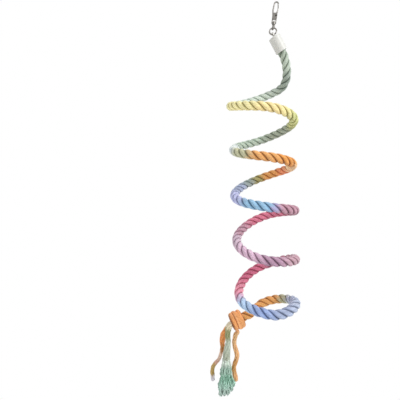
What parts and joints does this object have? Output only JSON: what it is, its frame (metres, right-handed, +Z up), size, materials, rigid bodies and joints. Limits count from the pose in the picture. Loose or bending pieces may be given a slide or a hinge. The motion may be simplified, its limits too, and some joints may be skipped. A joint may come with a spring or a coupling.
{
  "type": "bird perch",
  "caption": "Hanging spiral rope perch: a wire-cored cotton rope coil under a white end cap and a swivel trigger clasp, with a knotted, frayed tail.",
  "frame": {"origin": "where the clasp's crown rests on the cage bar: the middle of the crown's underside", "axes": "+Z up along the perch as it hangs at rest, +X to the right and +Y to the back of the pictured view, which shows it turned 4.2 degrees about Y, its foot to the left"},
  "size_m": [0.13, 0.1186, 0.6221],
  "materials": {
    "clasp_nickel": "bright nickel plate",
    "gate_nickel": "bright nickel plate",
    "link_nickel": "bright nickel plate",
    "spring_steel": "drawn wire",
    "core_steel": "dull",
    "cap_white": "satin",
    "rope_cotton": "space-dyed twisted cotton",
    "knot_cotton": "dyed twisted cotton",
    "left_cotton": "space-dyed cotton yarn",
    "middle_cotton": "space-dyed cotton yarn",
    "right_cotton": "space-dyed cotton yarn",
    "fray_cotton": "loose cotton yarn"
  },
  "bodies": {
    "clasp": {"clasp_body": "clasp_nickel", "gate_rivet": "gate_nickel", "gate_spring": "spring_steel"},
    "gate": {"clasp_gate": "gate_nickel"},
    "swivel": {"swivel_eye": "link_nickel"},
    "ring": {"connector_ring": "link_nickel"},
    "perch": {"cap_eye": "link_nickel", "core_ferrule": "core_steel", "end_cap": "cap_white", "core_wire": "core_steel", "rope": "rope_cotton"},
    "tail": {"end_knot": "knot_cotton"},
    "left_strand": {"strand_left": "left_cotton"},
    "middle_strand": {"strand_middle": "middle_cotton", "frayed_end": "fray_cotton"},
    "right_strand": {"strand_right": "right_cotton"}
  },
  "joints": [
    {"name": "gate_hinge", "type": "hinge", "parent": "clasp", "child": "gate", "pos_m": [0.0005, 0, -0.02268], "axis": [0, -1, 0], "range_deg": [0, 11], "stiffness_Nm_per_rad": 0.05, "springref_deg": -0.69, "deforming": ["gate_spring"]},
    {"name": "swivel_turn", "type": "hinge", "parent": "clasp", "child": "swivel", "pos_m": [-0.00229, 0, -0.03452], "axis": [0.0663, 0, 0.9978], "continuous": true},
    {"name": "ring_swing", "type": "hinge", "parent": "swivel", "child": "ring", "pos_m": [-0.00292, 0, -0.0439], "axis": [0, 1, 0], "range_deg": [-40, 40]},
    {"name": "perch_swing", "type": "hinge", "parent": "ring", "child": "perch", "pos_m": [-0.00229, 0, -0.05243], "axis": [0.9973, 0, 0.0732], "range_deg": [-35, 35]},
    {"name": "coil_bounce", "type": "slide", "parent": "perch", "child": "tail", "axis": [0, 0, -1], "range_m": [-0.02, 0.04], "stiffness_N_per_m": 160, "springref_m": -0.0007, "deforming": ["rope", "core_wire"]},
    {"name": "left_strand_swing", "type": "hinge", "parent": "tail", "child": "left_strand", "pos_m": [-0.03774, 0.0071, -0.51653], "axis": [-0.8415, -0.3171, -0.4374], "range_deg": [-25, 0]},
    {"name": "middle_strand_swing", "type": "hinge", "parent": "tail", "child": "middle_strand", "pos_m": [-0.0366, -0.00395, -0.51072], "axis": [-0.8415, -0.3171, -0.4374], "range_deg": [0, 25]},
    {"name": "right_strand_swing", "type": "hinge", "parent": "tail", "child": "right_strand", "pos_m": [-0.02747, 0.00523, -0.52555], "axis": [-0.8415, -0.3171, -0.4374], "range_deg": [-25, 0]}
  ]
}
